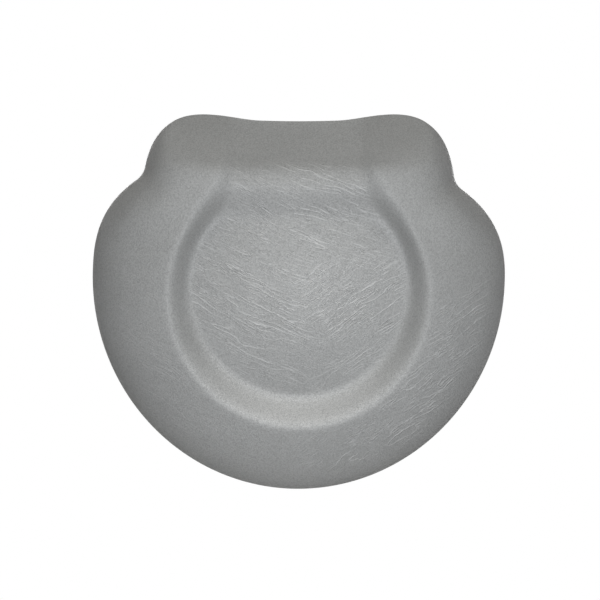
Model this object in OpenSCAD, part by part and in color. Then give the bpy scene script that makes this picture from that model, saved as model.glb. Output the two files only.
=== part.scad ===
// Contoured chair headrest: a vinyl pad with a head dish on a tilting bracket
// that clamps to a round upright post. Millimetres, +Z up, the pad faces -Y,
// and the origin is the middle of the post socket.

/* [Pad outline] */
// Width of the pad across its widest line
pad_w = 300; // [270:1:330]
// Height of the widest line above the middle of the post socket
pad_z = 18.5; // [10:0.5:28]
// Drop from the widest line to the bottom edge
body_drop = 155; // [140:1:175]
// Turn of the shoulders against the ears, from the pull of the cover
body_turn = 2.6; // [0:0.1:4]
// Rise of the shoulder curve above the widest line
shoulder_h = 91.5; // [84:0.5:98]
// Squareness of the shoulder curve, 2 for an ellipse
shoulder_n = 2.5; // [2.2:0.1:2.8]
// Width across the two ears
ear_w = 229.5; // [215:0.5:245]
// Rise of the ear curve above the widest line
ear_h = 122; // [115:0.5:130]
// Squareness of the ear curve
ear_n = 4.9; // [4:0.1:6]
// Drop of the top edge between the ears
saddle_drop = 9.6; // [4:0.1:12]
// Half width of the level middle of the top edge
saddle_in = 30; // [15:1:40]
// Half width at which the drop has run out
saddle_out = 92; // [75:1:105]
// Blend between ear and shoulder at the notch
notch_blend = 6; // [3:0.5:12]
// Wider blend of ear and shoulder where the crown leaves the edge
crown_blend = 70; // [40:5:90]

/* [Pad section] */
// Depth from the back of the board to the widest line
side_h = 22; // [18:0.5:28]
// Rise of the crowned rim over the widest line
dome_h = 84; // [74:1:90]
// Gain of the crown per 100 mm of height
crown_lean = 0.04; // [0:0.01:0.08]
// Distance by which the side draws in from the widest line to the back
edge_in = 14; // [10:0.5:18]
// Depth of the dish floor at its highest point
dish_d = 80; // [76:0.5:84]
// Radius of the crowned dish floor
floor_r = 280; // [240:10:400]
// Height of the middle of the dish floor above the widest line
floor_z = 6; // [0:0.5:12]
// Radius of the foot of the dish wall
foot_r = 76.8; // [72:0.1:82]
// Height of the foot circle above the widest line
foot_z = -9.3; // [-13:0.1:-5]
// Radius of the top of the dish wall
crest_r = 91.4; // [87:0.1:96]
// Height of the crest circle above the widest line
crest_z = -15.2; // [-19:0.1:-11]
// Width of the neck channel at the foot of its walls
neck_foot_w = 84; // [76:1:96]
// Width of the neck channel at the top of its walls
neck_crest_w = 108; // [100:1:116]
// Blend of the dish wall into the channel wall
neck_blend = 22; // [8:1:30]
// Depth of the neck channel below the ears
neck_d = 9; // [4:0.1:11]
// Height at which the floor starts to rise to the neck lip
lip_from = 28; // [20:1:36]
// Height at which the neck lip is reached
lip_to = 66; // [58:1:72]
// Height at which the top bevel starts
bevel_z = 77; // [72:0.5:84]
// Depth of the pad where the bevel starts
bevel_d = 86; // [80:0.5:90]
// Tilt of the top bevel
bevel_tilt = 56; // [48:1:60]
// Rounding of the edges of the bevel between the ears
bevel_round = 7; // [3:0.5:12]
// Rounding of the edges of the bevel on the ears
ear_round = 24; // [12:1:30]
// Rise of the rolled edge below the bevel
roll_h = 22; // [12:1:30]

/* [Pad layers] */
// Thickness of the vinyl cover
skin_t = 1.2; // [0.8:0.1:2]
// Width of the vinyl turned over the back
flange_w = 14; // [12:0.5:16]
// Gap between the vinyl and the foam
glue_gap = 0.1; // [0.05:0.05:0.3]
// Width of the foam lip around the board
lip_w = 3; // [2:0.5:5]
// Gap between the board and its pocket in the foam
pocket_gap = 0.2; // [0.1:0.1:0.5]
// Thickness of the plywood board
board_t = 12; // [9:0.5:15]
// Number of staples on each side of the turned-over vinyl
staple_pairs = 11; // [6:1:14]
// Width of a staple
staple_w = 10; // [6:0.5:13]
// Length of a staple leg
staple_leg = 8; // [6:0.5:9]
// Thickness of the staple wire
staple_wire = 0.9; // [0.6:0.1:1.2]
// Distance of the staples from the edge of the vinyl
staple_edge = 4; // [3:0.5:5]

/* [Rear cover] */
// Wall of the rear cover
cover_t = 2.5; // [2:0.1:3]
// Distance of the rear cover's edge inside the pad's back edge
cover_in = 3; // [2:0.5:6]
// Thickness of the flat margin of the rear cover
margin_t = 3; // [2.5:0.1:4]
// Width of the flat margin of the rear cover
margin_w = 24; // [22:0.5:28]
// Chamfer on the edge of the margin
margin_chamfer = 1; // [0.5:0.1:1.5]
// Width of the rounded step from the margin up to the domed middle
cover_round = 7; // [5:0.5:9]
// Height of the rear cover above the step
cover_step_h = 9; // [8:0.5:10]
// Height of the rear cover beside its window
cover_h = 11; // [10.5:0.5:14]
// Gap between the rear cover's window and the mounting plate
window_gap = 3; // [2.5:0.5:5]
// Squareness of the window
window_n = 10; // [8:1:14]
// Width of the frame around the window
frame_w = 4; // [3.5:0.5:6]
// Height by which the frame stands proud of the cover
frame_proud = 1.5; // [0.5:0.5:3]
// Radius of a cover screw's shank
cover_screw_r = 2; // [1.5:0.1:2.5]
// Length of a cover screw in the board
cover_screw_bite = 9; // [6:0.5:10]
// Radius of a cover screw's head
cover_screw_head_r = 3.8; // [3.4:0.1:4.4]
// Height of a cover screw's head
cover_screw_head_h = 2.4; // [2:0.1:3]
// Width of the cross recess in a cover screw's head
cross_w = 1.2; // [0.8:0.1:1.5]
// Length of the cross recess
cross_len = 4.6; // [4:0.1:5.2]
// Depth of the cross recess
cross_d = 1.4; // [1:0.1:1.8]
// Distance of the cover screws from the turned-over vinyl
cover_screw_in = 6; // [5:0.5:7]

/* [Mounting plate] */
// Width and height of the square plate
plate_w = 100; // [96:1:110]
// Thickness of the plate
plate_t = 3; // [2.5:0.5:5]
// Corner radius of the plate
plate_r = 10; // [4:1:14]
// Pitch of the four screws, across and up
screw_pitch = 76; // [72:1:80]
// Radius of a plate screw's shank
screw_r = 3; // [2.5:0.1:3.5]
// Radius of a plate screw's head
screw_head_r = 5.4; // [5.2:0.1:6]
// Height of a plate screw's head
screw_head_h = 3.3; // [2.5:0.1:4]
// Width across the flats of the screw's drive socket
screw_hex = 4; // [3:0.5:4.5]
// Depth of the drive socket
screw_hex_d = 1.8; // [1:0.1:2.2]
// Thickness of a lock washer
lock_t = 1.6; // [1.2:0.1:2]
// Radius of a lock washer
lock_r = 5.2; // [4.8:0.1:6]
// Gap between a screw and the holes it passes
screw_gap = 0.3; // [0.2:0.05:0.5]
// Radius of a tee nut's flange
tee_flange_r = 9.5; // [8:0.5:11]
// Thickness of a tee nut's flange
tee_flange_t = 1.4; // [1:0.1:2]
// Radius of a tee nut's barrel
tee_barrel_r = 4; // [3.8:0.1:4.6]
// Gap between mating fixed pieces
seat_gap = 0.04; // [0.02:0.01:0.06]

/* [Hinge] */
// Distance from the post axis to the hinge axis
hinge_reach = 34; // [32:0.5:40]
// Distance from the plate to the hinge axis
hinge_stand = 26; // [24:0.5:32]
// Length of the knuckle barrel
barrel_len = 40; // [36:1:44]
// Radius of the knuckle barrel
barrel_r = 14; // [12.5:0.5:15]
// Sheet thickness of the yoke
yoke_t = 4; // [3:0.5:5]
// Inner bend radius of the yoke
bend_r = 3; // [2:0.5:4]
// Radius of the yoke's cheeks around the hinge axis
cheek_r = 25; // [24.5:0.5:27]
// Height of the yoke at the plate
yoke_h = 60; // [52:1:70]
// Radius of the hinge bolt
bolt_r = 5; // [4:0.5:6]
// Running gap around the hinge bolt
bolt_gap = 0.06; // [0.03:0.01:0.1]
// Width across the flats of the bolt head and nut
bolt_hex = 16; // [15:0.5:18]
// Height of the bolt head
bolt_head_h = 6.4; // [5:0.2:8]
// Height of the lock nut
nut_h = 9; // [8:0.5:11]
// Length of bolt past the nut
bolt_tail = 1.6; // [0.5:0.1:3]
// Wall of a flanged hinge bush
hinge_bush_t = 2; // [1.5:0.1:2.5]
// Thickness of a bush flange
hinge_flange_t = 1.5; // [1:0.1:2]
// Radius of a bush flange
hinge_flange_r = 13; // [11:0.5:14]
// Length of a hinge bush in the barrel
hinge_bush_len = 16; // [10:0.5:17]
// Running gap between a bush flange and the yoke
flange_gap = 0.05; // [0.03:0.01:0.1]
// Thickness of a flat washer
washer_t = 1.6; // [1.2:0.1:2.5]
// Radius of a flat washer
washer_r = 10; // [9.5:0.5:12]
// Thickness of a disc spring
disc_t = 1.1; // [0.8:0.1:1.5]
// Dish of a disc spring
disc_dish = 0.5; // [0.3:0.1:0.8]
// Radius of a disc spring
disc_r = 9.5; // [9:0.5:10]
// Radius of the stop pin
stop_r = 2; // [1.5:0.1:2.2]
// Distance of the stop pin from the hinge axis
stop_reach = 19; // [18.5:0.1:20]
// Wall around the stop pin
stop_wall = 3.5; // [3:0.5:4]
// Half width of the stop arm
stop_arm_w = 14; // [10:0.5:16]
// Gap around the stop pin in its slots
stop_gap = 0.2; // [0.15:0.05:0.3]
// Length of stop pin past the yoke
stop_tail = 1; // [0.5:0.5:3]
// Forward tilt of the pad
tilt_forward = 20; // [10:1:22]
// Backward tilt of the pad
tilt_back = 20; // [10:1:22]
// Radius of the weld beads beside the yoke
weld_r = 2.4; // [1.5:0.1:3]

/* [Post socket] */
// Diameter of the chair's post
post_d = 22; // [20:0.5:24]
// Gap between the post and its bushes
post_gap = 0.15; // [0.1:0.01:0.2]
// Wall of a post bush
post_bush_t = 2; // [1.5:0.1:3]
// Length of a post bush in the socket
post_bush_len = 20; // [14:0.5:22]
// Thickness of a post bush's flange
post_flange_t = 2; // [1.5:0.1:3]
// Width of a post bush's flange
post_flange_w = 3.4; // [2.5:0.1:4]
// Wall of the socket
socket_wall = 4.5; // [4:0.1:6]
// Length of the socket
socket_len = 64; // [60:1:80]
// Chamfer on the socket's ends and bosses
chamfer = 1; // [0.5:0.1:1.4]
// Half width of the web between knuckle and socket
web_w = 11; // [8:0.5:13]
// Height of the web where it meets the socket
web_h = 50; // [40:1:56]
// Radius of the clamp boss
clamp_boss_r = 12; // [10.5:0.5:14]
// Distance from the post axis to the face of the clamp boss
clamp_boss_y = 34; // [31:0.5:40]

/* [Clamp] */
// Radius of the clamp shoe
shoe_r = 6.8; // [6:0.1:7.4]
// Thickness of the clamp shoe
shoe_t = 5; // [4.6:0.1:6]
// Running gap of shoe and stud
slide_gap = 0.06; // [0.03:0.01:0.1]
// Radius of the clamp stud
stud_r = 4; // [3.5:0.1:4.5]
// Radius of the stud's tip in the shoe
tip_r = 2.4; // [2:0.1:3]
// Length of the stud's tip in the shoe
tip_len = 3; // [2:0.1:3.2]
// Gap behind the shoe and past the stud's tip
tip_gap = 0.3; // [0.2:0.05:0.5]
// Travel of the shoe when the knob is slackened
shoe_back = 2.5; // [1:0.25:3.75]
// Gap between the boss and the knob's hub when clamped
hub_gap = 1.5; // [1:0.1:3]
// Radius of the knob's hub
hub_r = 9; // [8:0.5:10]
// Length of the knob's hub
hub_len = 5; // [3:0.5:8]
// Radius of the knob
knob_r = 21; // [19:0.5:26]
// Thickness of the knob
knob_t = 17; // [14:0.5:22]
// Rounding of the knob's edges
knob_round = 4; // [2:0.5:5]
// Number of lobes on the knob
lobes = 7; // [5:1:9]
// Radius of the flutes between the lobes
flute_r = 6; // [4:0.5:7]
// Depth of the flutes
flute_d = 2.6; // [1:0.1:3.5]
// Radius of the cap in the knob
cap_r = 8; // [7:0.5:9]
// Thickness of the cap
cap_t = 1.6; // [1:0.1:2.5]
// Depth of stud in the knob past the hub
stud_bite = 11; // [8:0.5:12]

/* [Hidden] */
$fn = 64;

// Overlap that lets one cut or joined shape run past another
run_out = 1;
// Bands of spokes around the pad, each [from, to, steps]: closest at the notch
spoke_bands = [[-90, 0, 8], [0, 24, 4], [24, 42, 5], [42, 66, 8], [66, 90, 3]];
// Places of the rings on the dish floor, as shares of the way to its wall
floor_rings = [0.5, 0.76];
// Places of the rings on the rim, as shares of the way from crest to widest line
rim_rings = [0.4, 0.72, 0.92];
// How late the crown's radius turns into that of the edge
crown_fade = 8;
// Angle of the ring on the drawn-in side
side_ring = 50;
// Place of the bend in the rear cover's step, as shares of its width and height
step_in = 0.4;
step_up = 0.7;
// Share of a weld bead's radius by which its axis stands off the corner
weld_off = 0.3;
// Share of a screw head's height that is chamfered
head_chamfer = 0.3;
// Share of the frame's proud height by which its edge slopes
frame_slope = 0.5;
// Flats of the cheeks' round ends
cheek_flats = 48;
// Flats of bolt heads, nuts and drive sockets
hex_flats = 6;
// Ratio of a hexagon's width across corners to that across flats
hex_corners = 1/cos(30);
// Directions of the cover screws from the middle of the pad
cover_screw_angles = [38, 142, -12, 192, -58, 238];

hinge_y = -hinge_reach;
plate_back = hinge_y - hinge_stand;
board_back = plate_back - plate_t;
board_front = board_back - board_t;
cover_base = board_back + skin_t;
yoke_in = barrel_len/2 + hinge_flange_t + flange_gap;
yoke_out = yoke_in + yoke_t;
hinge_bush_r = bolt_r + bolt_gap + hinge_bush_t;
stop_slot_r = stop_r + stop_gap;
stack_x = yoke_out + washer_t;
nut_x = stack_x + 2*(disc_t + disc_dish);
post_r = post_d/2 + post_gap;
post_bush_r = post_r + post_bush_t;
socket_bore_r = post_bush_r + seat_gap;
socket_r = socket_bore_r + socket_wall;
shoe_back_y = post_r + shoe_t;
pocket_y = shoe_back_y + shoe_back + tip_gap;
hub_y = clamp_boss_y + hub_gap;
knob_y = hub_y + hub_len;
stud_len = knob_y + stud_bite - shoe_back_y - tip_gap;
window_r = plate_w/2 + window_gap;
cover_screw_y = cover_base + margin_t;
staple_in = flange_w - staple_edge;

// Helpers for smooth curves
function mix(a, b, t) = a + (b - a)*t;
function clamp01(t) = min(1, max(0, t));
function ease(from, to, t) = let (s = clamp01((t - from)/(to - from))) s*s*(3 - 2*s);
function soft_max(a, b, k) =
    let (h = k > 0 ? max(k - abs(a - b), 0)/k : 0)
    max(a, b) + h*h*k/4;
function soft_min(a, b, k) = -soft_max(-a, -b, k);
function oval(a, b, n, t) = pow(pow(abs(cos(t))/a, n) + pow(abs(sin(t))/b, n), -1/n);

// Outline of the pad: distance from the middle of the widest line to the edge
function body_edge(t) =
    let (a = t + body_turn)
    sin(a) < 0 ? oval(pad_w/2, body_drop, 2, a) : oval(pad_w/2, shoulder_h, shoulder_n, a);
function ear_edge(t) =
    let (r = oval(ear_w/2, ear_h, ear_n, t))
    r - saddle_drop*(1 - ease(saddle_in, saddle_out, abs(r*cos(t))))*sin(t);
function edge(t) =
    sin(t) <= 0 ? body_edge(t) : soft_max(body_edge(t), ear_edge(t), notch_blend);
function crown_edge(t) =
    sin(t) <= 0 ? body_edge(t)
        : soft_max(body_edge(t), ear_edge(t), mix(notch_blend, crown_blend, sin(t)));

// Spokes from the bottom, up the right side, over the top and down the left side
half_spokes = [for (b = spoke_bands) for (i = [0:b[2] - 1]) b[0] + (b[1] - b[0])*i/b[2]];
spokes = concat(half_spokes, [90], [for (i = [len(half_spokes) - 1:-1:1]) 180 - half_spokes[i]]);

// Front face of the pad, as a depth from the back of the board
function keyhole(x, z, r, z0, w) =
    soft_min(norm([x, z - z0]) - r, z > z0 ? abs(x) - w/2 : r, neck_blend);
function rim_depth(x, z, u) =
    let (round = sqrt(max(0, 1 - u*u)))
    let (blend = round*mix(bevel_round, ear_round, ease(neck_foot_w/2, ear_w/2, abs(x))))
    let (bevel = bevel_d - (z - bevel_z)*tan(bevel_tilt))
    soft_min(
        side_h + dome_h*(1 + crown_lean*z/100)*round,
        soft_max(bevel, side_h + roll_h*round, blend), blend);
function floor_depth(x, z, u) =
    mix(dish_d - (x*x + pow(z - floor_z, 2))/(2*floor_r),
        rim_depth(x, z, u) - neck_d*(1 - pow(u, 4)), ease(lip_from, lip_to, z));
function front_depth(x, z, u) =
    let (out = keyhole(x, z, foot_r, foot_z, neck_foot_w))
    let (in = keyhole(x, z, crest_r, crest_z, neck_crest_w))
    let (rise = clamp01(out/max(out - in, 0.001)))
    mix(floor_depth(x, z, u), rim_depth(x, z, u), rise);

// Lines that the rings of the dish follow: a circle that opens into the neck
function ring_circle(t, r, z0) = z0*sin(t) + sqrt(r*r - pow(z0*cos(t), 2));
function dish_line(t, r, z0, w, top) =
    let (circle = ring_circle(t, r, z0))
    let (channel = w/2/max(abs(cos(t)), 0.001))
    sin(t) <= 0 ? circle : soft_min(soft_max(circle, channel, neck_blend), top/sin(t), neck_blend);
function foot_line(t) = dish_line(t, foot_r, foot_z, neck_foot_w, lip_to);
function crest_line(t) = dish_line(t, crest_r, crest_z, neck_crest_w, bevel_z);

// One point of the pad in the part's frame
function pad_point(t, r, d) = [r*cos(t), board_back - d, pad_z + r*sin(t)];
function front_point(t, r, inset) =
    let (share = min(1, r/(edge(t) - inset)))
    let (u = share*edge(t)/mix(crown_edge(t), edge(t), pow(share, crown_fade)))
    pad_point(t, r, front_depth(r*cos(t), r*sin(t), u) - inset);
function front_loop(share, inset) =
    [for (t = spokes) front_point(t, share*foot_line(t), inset)];
function rim_loop(share, inset) =
    [for (t = spokes)
        front_point(t, mix(crest_line(t), edge(t) - inset, share), inset)];
function side_loop(a, inset) =
    [for (t = spokes)
        pad_point(t, edge(t) - edge_in + (edge_in - inset)*cos(a),
            side_h - (side_h + skin_t - inset)*sin(a))];
function back_loop(in, d) = [for (t = spokes) pad_point(t, edge(t) - edge_in - in, d)];
function pad_loops(inset) = concat(
    [for (s = floor_rings) front_loop(s, inset)],
    [front_loop(1, inset)],
    [rim_loop(0, inset)],
    [for (s = rim_rings) rim_loop(s, inset)],
    [side_loop(0, inset), side_loop(side_ring, inset), side_loop(90, inset)]);
function middle(inset) = front_point(0, 0, inset);
function reversed(list) = [for (i = [len(list) - 1:-1:0]) list[i]];

// A closed solid from a row of loops, with a point that closes each end. Its quads are
// split along diagonals that mirror at the middle of a loop and again from loop turn
// on, so that the inner side of a shell runs along its outer side.
module loft(first, loops, last, turn = 1000) {
    n = len(loops[0]);
    m = len(loops);
    points = concat([first], [for (loop = loops) for (p = loop) p], [last]);
    function at(k, i) = 1 + k*n + i % n;
    function rising(k, i) = (k < turn) == (i < n/2);
    end = m*n + 1;
    faces = concat(
        [for (i = [0:n - 1]) [0, at(0, i), at(0, i + 1)]],
        [for (k = [0:m - 2]) for (i = [0:n - 1])
            [at(k, i), at(k + 1, i), at(rising(k, i) ? k + 1 : k, i + 1)]],
        [for (k = [0:m - 2]) for (i = [0:n - 1])
            [at(rising(k, i) ? k : k + 1, i), at(k + 1, i + 1), at(k, i + 1)]],
        [for (i = [0:n - 1]) [end, at(m - 1, i + 1), at(m - 1, i)]]);
    polyhedron(points, faces, convexity = 8);
}

// A closed ring from a row of loops, the last of which meets the first
module loft_ring(loops) {
    n = len(loops[0]);
    m = len(loops);
    function at(k, i) = (k % m)*n + i % n;
    polyhedron([for (loop = loops) for (p = loop) p], concat(
        [for (k = [0:m - 1]) for (i = [0:n - 1]) [at(k, i), at(k + 1, i), at(k + 1, i + 1)]],
        [for (k = [0:m - 1]) for (i = [0:n - 1]) [at(k, i), at(k + 1, i + 1), at(k, i + 1)]]),
        convexity = 8);
}

// A flat shape in X and Z, from y0 back to y1
module upright(y0, y1) translate([0, y1, 0]) rotate([90, 0, 0]) linear_extrude(y1 - y0) children();
// A flat shape in Y and Z, from x0 to x1
module sideways(x0, x1) translate([x0, 0, 0]) rotate([90, 0, 90]) linear_extrude(x1 - x0) children();
// A turned shape whose axis runs back along Y from y0
module along_y(y0) translate([0, y0, 0]) rotate([-90, 0, 0]) children();
// A turned shape on the hinge axis, from x0 towards +X
module along_hinge(x0) translate([x0, hinge_y, 0]) rotate([0, 90, 0]) children();
module ring(r_out, r_in, h) difference() {
    cylinder(r = r_out, h = h);
    translate([0, 0, -run_out]) cylinder(r = r_in, h = h + 2*run_out);
}
module chamfered(r, h, c) rotate_extrude()
    polygon([[0, 0], [r - c, 0], [r, c], [r, h - c], [r - c, h], [0, h]]);
module round_square(w, r) {
    square([w - 2*r, w], center = true);
    square([w, w - 2*r], center = true);
    for (x = [-1, 1], z = [-1, 1]) translate([x*(w/2 - r), z*(w/2 - r)]) circle(r);
}
module screw_places() for (x = [-1, 1], z = [-1, 1])
    translate([x*screw_pitch/2, 0, z*screw_pitch/2]) children();
module cover_screw_places() for (t = cover_screw_angles)
    let (r = edge(t) - edge_in - flange_w - cover_screw_in)
    translate([r*cos(t), 0, pad_z + r*sin(t)]) children();
module board_outline() polygon([for (t = spokes)
    let (r = edge(t) - edge_in - lip_w) [r*cos(t), pad_z + r*sin(t)]]);

// Pad
module vinyl_cover() color("gray") loft(
    middle(0),
    concat(pad_loops(0), [back_loop(flange_w, -skin_t), back_loop(flange_w, 0)],
        reversed(pad_loops(skin_t))),
    middle(skin_t),
    len(pad_loops(0)) + 2);

module foam_core() color("khaki") loft(
    middle(skin_t + glue_gap),
    concat(pad_loops(skin_t + glue_gap),
        [back_loop(lip_w - pocket_gap, glue_gap), back_loop(lip_w - pocket_gap, board_t)]),
    pad_point(0, 0, board_t));

module backing_board() color("burlywood") difference() {
    upright(board_front, board_back) board_outline();
    screw_places() {
        along_y(board_front - run_out) cylinder(r = tee_barrel_r + seat_gap, h = board_t + 2*run_out);
        along_y(board_front - run_out)
            cylinder(r = tee_flange_r + seat_gap, h = tee_flange_t + run_out);
    }
    cover_screw_places() along_y(board_back - cover_screw_bite - screw_gap)
        cylinder(r = cover_screw_r + seat_gap, h = cover_screw_bite + screw_gap + run_out);
}

module tee_nuts() color("silver") screw_places() along_y(board_front) difference() {
    union() {
        cylinder(r = tee_flange_r, h = tee_flange_t);
        cylinder(r = tee_barrel_r, h = board_t - screw_gap);
    }
    translate([0, 0, -run_out]) cylinder(r = screw_r + seat_gap, h = board_t + run_out);
}

module staple() {
    translate([-staple_w/2, 0, -staple_wire/2]) cube([staple_w, staple_wire, staple_wire]);
    for (x = [-staple_w/2, staple_w/2 - staple_wire])
        translate([x, -staple_leg, -staple_wire/2])
            cube([staple_wire, staple_leg + staple_wire, staple_wire]);
}
module cover_staples() color("silver")
    for (side = [0, 180], i = [0:staple_pairs - 1])
        let (a = -90 + 180*(i + 0.5)/staple_pairs)
        let (t = side == 0 ? a : 180 - a)
        let (r = edge(t) - edge_in - staple_in)
        translate([r*cos(t), cover_base - staple_wire, pad_z + r*sin(t)])
            rotate([0, 90 - t, 0]) staple();

// Rear cover: a flat margin, a step up to a domed middle, and a framed window
function cover_loop(in, h) = back_loop(cover_in + in, -skin_t - h);
function window_loop(out, h) =
    [for (t = spokes)
        let (a = atan2(pad_z + edge(t)*sin(t), edge(t)*cos(t)))
        let (r = oval(window_r + out, window_r + out, window_n, a))
        [r*cos(a), cover_base + h, r*sin(a)]];
module rear_cover() color("dimgray") difference() {
    loft_ring([
        cover_loop(0, 0),
        cover_loop(0, margin_t - margin_chamfer),
        cover_loop(margin_chamfer, margin_t),
        cover_loop(margin_w, margin_t),
        cover_loop(margin_w + cover_round*step_in, mix(margin_t, cover_step_h, step_up)),
        cover_loop(margin_w + cover_round, cover_step_h),
        window_loop(frame_w, cover_h),
        window_loop(frame_w - frame_proud*frame_slope, cover_h + frame_proud),
        window_loop(0, cover_h + frame_proud),
        window_loop(0, -skin_t),
        window_loop(cover_t, -skin_t),
        window_loop(cover_t, cover_h - cover_t),
        cover_loop(margin_w + cover_round, cover_step_h - cover_t),
        cover_loop(margin_w + cover_t, 0)
    ]);
    cover_screw_places() along_y(cover_base - run_out)
        cylinder(r = cover_screw_r + seat_gap, h = margin_t + 2*run_out);
}

module cover_screws() color("black") cover_screw_places() difference() {
    union() {
        along_y(board_back - cover_screw_bite)
            cylinder(r = cover_screw_r, h = cover_screw_bite + skin_t + margin_t + run_out);
        along_y(cover_screw_y)
            chamfered(cover_screw_head_r, cover_screw_head_h, cover_screw_head_h*head_chamfer);
    }
    translate([0, cover_screw_y + cover_screw_head_h, 0]) {
        cube([cross_w, 2*cross_d, cross_len], center = true);
        cube([cross_len, 2*cross_d, cross_w], center = true);
    }
}

// Mounting plate and its fasteners
module mounting_plate() color("darkgray") difference() {
    upright(board_back, plate_back) round_square(plate_w, plate_r);
    screw_places() along_y(board_back - run_out)
        cylinder(r = screw_r + screw_gap, h = plate_t + 2*run_out);
}

module plate_screws() color("silver") screw_places() difference() {
    union() {
        along_y(board_front) cylinder(r = screw_r, h = board_t + plate_t + lock_t + run_out);
        along_y(plate_back + lock_t) chamfered(screw_head_r, screw_head_h, screw_head_h*head_chamfer);
    }
    along_y(plate_back + lock_t + screw_head_h - screw_hex_d)
        cylinder(d = screw_hex*hex_corners, h = screw_hex_d + run_out, $fn = hex_flats);
}

module lock_washers() color("silver") screw_places() along_y(plate_back) difference() {
    ring(lock_r, screw_r + screw_gap, lock_t);
    translate([screw_r, -lock_t/2, -run_out]) cube([lock_r, lock_t/2, lock_t + 2*run_out]);
}

// Hinge
module bend_shape(w, y0, y1, r) {
    translate([-w/2, y0 + r]) square([w, y1 - y0 - r]);
    translate([-w/2 + r, y0]) square([w - 2*r, y1 - y0]);
    for (x = [-1, 1]) translate([x*(w/2 - r), y0 + r]) circle(r);
}
module cheek_shape() hull() {
    translate([hinge_y, 0]) circle(cheek_r, $fn = cheek_flats);
    translate([plate_back, -yoke_h/2]) square([yoke_t, yoke_h]);
}
module stop_slot() {
    for (a = [-tilt_back, tilt_forward])
        translate([0, hinge_y + stop_reach*sin(a), stop_reach*cos(a)])
            rotate([0, 90, 0]) cylinder(r = stop_slot_r, h = 2*yoke_out + 2*run_out, center = true);
    translate([0, hinge_y, 0]) rotate([0, 90, 0]) rotate([0, 0, 180 - tilt_forward])
        translate([0, 0, -yoke_out - run_out]) rotate_extrude(angle = tilt_forward + tilt_back)
            translate([stop_reach - stop_slot_r, 0]) square([2*stop_slot_r, 2*yoke_out + 2*run_out]);
}
module hinge_yoke() color("darkgray") difference() {
    intersection() {
        linear_extrude(2*cheek_r + yoke_h, center = true) difference() {
            bend_shape(2*yoke_out, plate_back, hinge_y + cheek_r, bend_r + yoke_t);
            bend_shape(2*yoke_in, plate_back + yoke_t, hinge_y + cheek_r + run_out, bend_r);
        }
        sideways(-yoke_out - run_out, yoke_out + run_out) cheek_shape();
    }
    along_hinge(-yoke_out - run_out) cylinder(r = bolt_r + bolt_gap, h = 2*yoke_out + 2*run_out);
    stop_slot();
}

module weld_beads() color("dimgray") for (side = [-1, 1])
    translate([side*yoke_out, plate_back, 0]) intersection() {
        translate([side*weld_r*weld_off, weld_r*weld_off, 0])
            cylinder(r = weld_r, h = yoke_h - 2*run_out, center = true);
        translate([side < 0 ? -2*weld_r : 0, 0, -yoke_h/2]) cube([2*weld_r, 2*weld_r, yoke_h]);
    }

module hinge_bolt() color("silver") {
    along_hinge(-stack_x) cylinder(r = bolt_r, h = stack_x + nut_x + nut_h + bolt_tail);
    along_hinge(-stack_x - bolt_head_h) intersection() {
        cylinder(d = bolt_hex*hex_corners, h = bolt_head_h, $fn = hex_flats);
        chamfered(bolt_hex*hex_corners/2, bolt_head_h + chamfer, chamfer);
    }
}

module hinge_bush() rotate_extrude() polygon([
    [bolt_r + bolt_gap, -hinge_flange_t], [hinge_flange_r, -hinge_flange_t], [hinge_flange_r, 0],
    [hinge_bush_r, 0], [hinge_bush_r, hinge_bush_len], [bolt_r + bolt_gap, hinge_bush_len]]);
module hinge_bushes() color("ivory") for (side = [0, 1])
    mirror([side, 0, 0]) along_hinge(-barrel_len/2) hinge_bush();

module flat_washers() color("silver") for (x = [-stack_x, yoke_out])
    along_hinge(x) ring(washer_r, bolt_r + bolt_gap, washer_t);

module disc_spring() rotate_extrude() polygon([
    [bolt_r + bolt_gap, disc_dish], [disc_r, 0], [disc_r, disc_t],
    [bolt_r + bolt_gap, disc_dish + disc_t]]);
module disc_springs() color("silver") {
    along_hinge(stack_x) disc_spring();
    along_hinge(nut_x) mirror([0, 0, 1]) disc_spring();
}

module lock_nut() color("silver") along_hinge(nut_x) difference() {
    intersection() {
        cylinder(d = bolt_hex*hex_corners, h = nut_h, $fn = hex_flats);
        chamfered(bolt_hex*hex_corners/2, nut_h, chamfer);
    }
    translate([0, 0, -run_out]) cylinder(r = bolt_r + seat_gap, h = nut_h + 2*run_out);
}

// Post socket
module post_socket() color("dimgray") difference() {
    union() {
        along_hinge(-barrel_len/2) chamfered(barrel_r, barrel_len, chamfer);
        sideways(-stop_arm_w, stop_arm_w) translate([hinge_y, 0]) {
            translate([0, stop_reach]) circle(stop_r + stop_wall);
            translate([-stop_r - stop_wall, 0]) square([2*(stop_r + stop_wall), stop_reach]);
        }
        sideways(-web_w, web_w) polygon([
            [hinge_y, -barrel_r], [0, -web_h/2], [0, web_h/2], [hinge_y, barrel_r]]);
        translate([0, 0, -socket_len/2]) chamfered(socket_r, socket_len, chamfer);
        along_y(0) chamfered(clamp_boss_r, clamp_boss_y, chamfer);
    }
    translate([0, 0, -socket_len/2 - run_out])
        cylinder(r = socket_bore_r, h = socket_len + 2*run_out);
    along_hinge(-barrel_len/2 - run_out)
        cylinder(r = hinge_bush_r + seat_gap, h = barrel_len + 2*run_out);
    translate([0, hinge_y, stop_reach]) rotate([0, 90, 0])
        cylinder(r = stop_r + seat_gap, h = 2*stop_arm_w + 2*run_out, center = true);
    along_y(0) cylinder(r = shoe_r + slide_gap, h = pocket_y);
    along_y(0) cylinder(r = stud_r + slide_gap, h = clamp_boss_y + run_out);
}

module stop_pin() color("silver") translate([0, hinge_y, stop_reach]) rotate([0, 90, 0])
    cylinder(r = stop_r, h = 2*yoke_out + 2*stop_tail, center = true);

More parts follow.
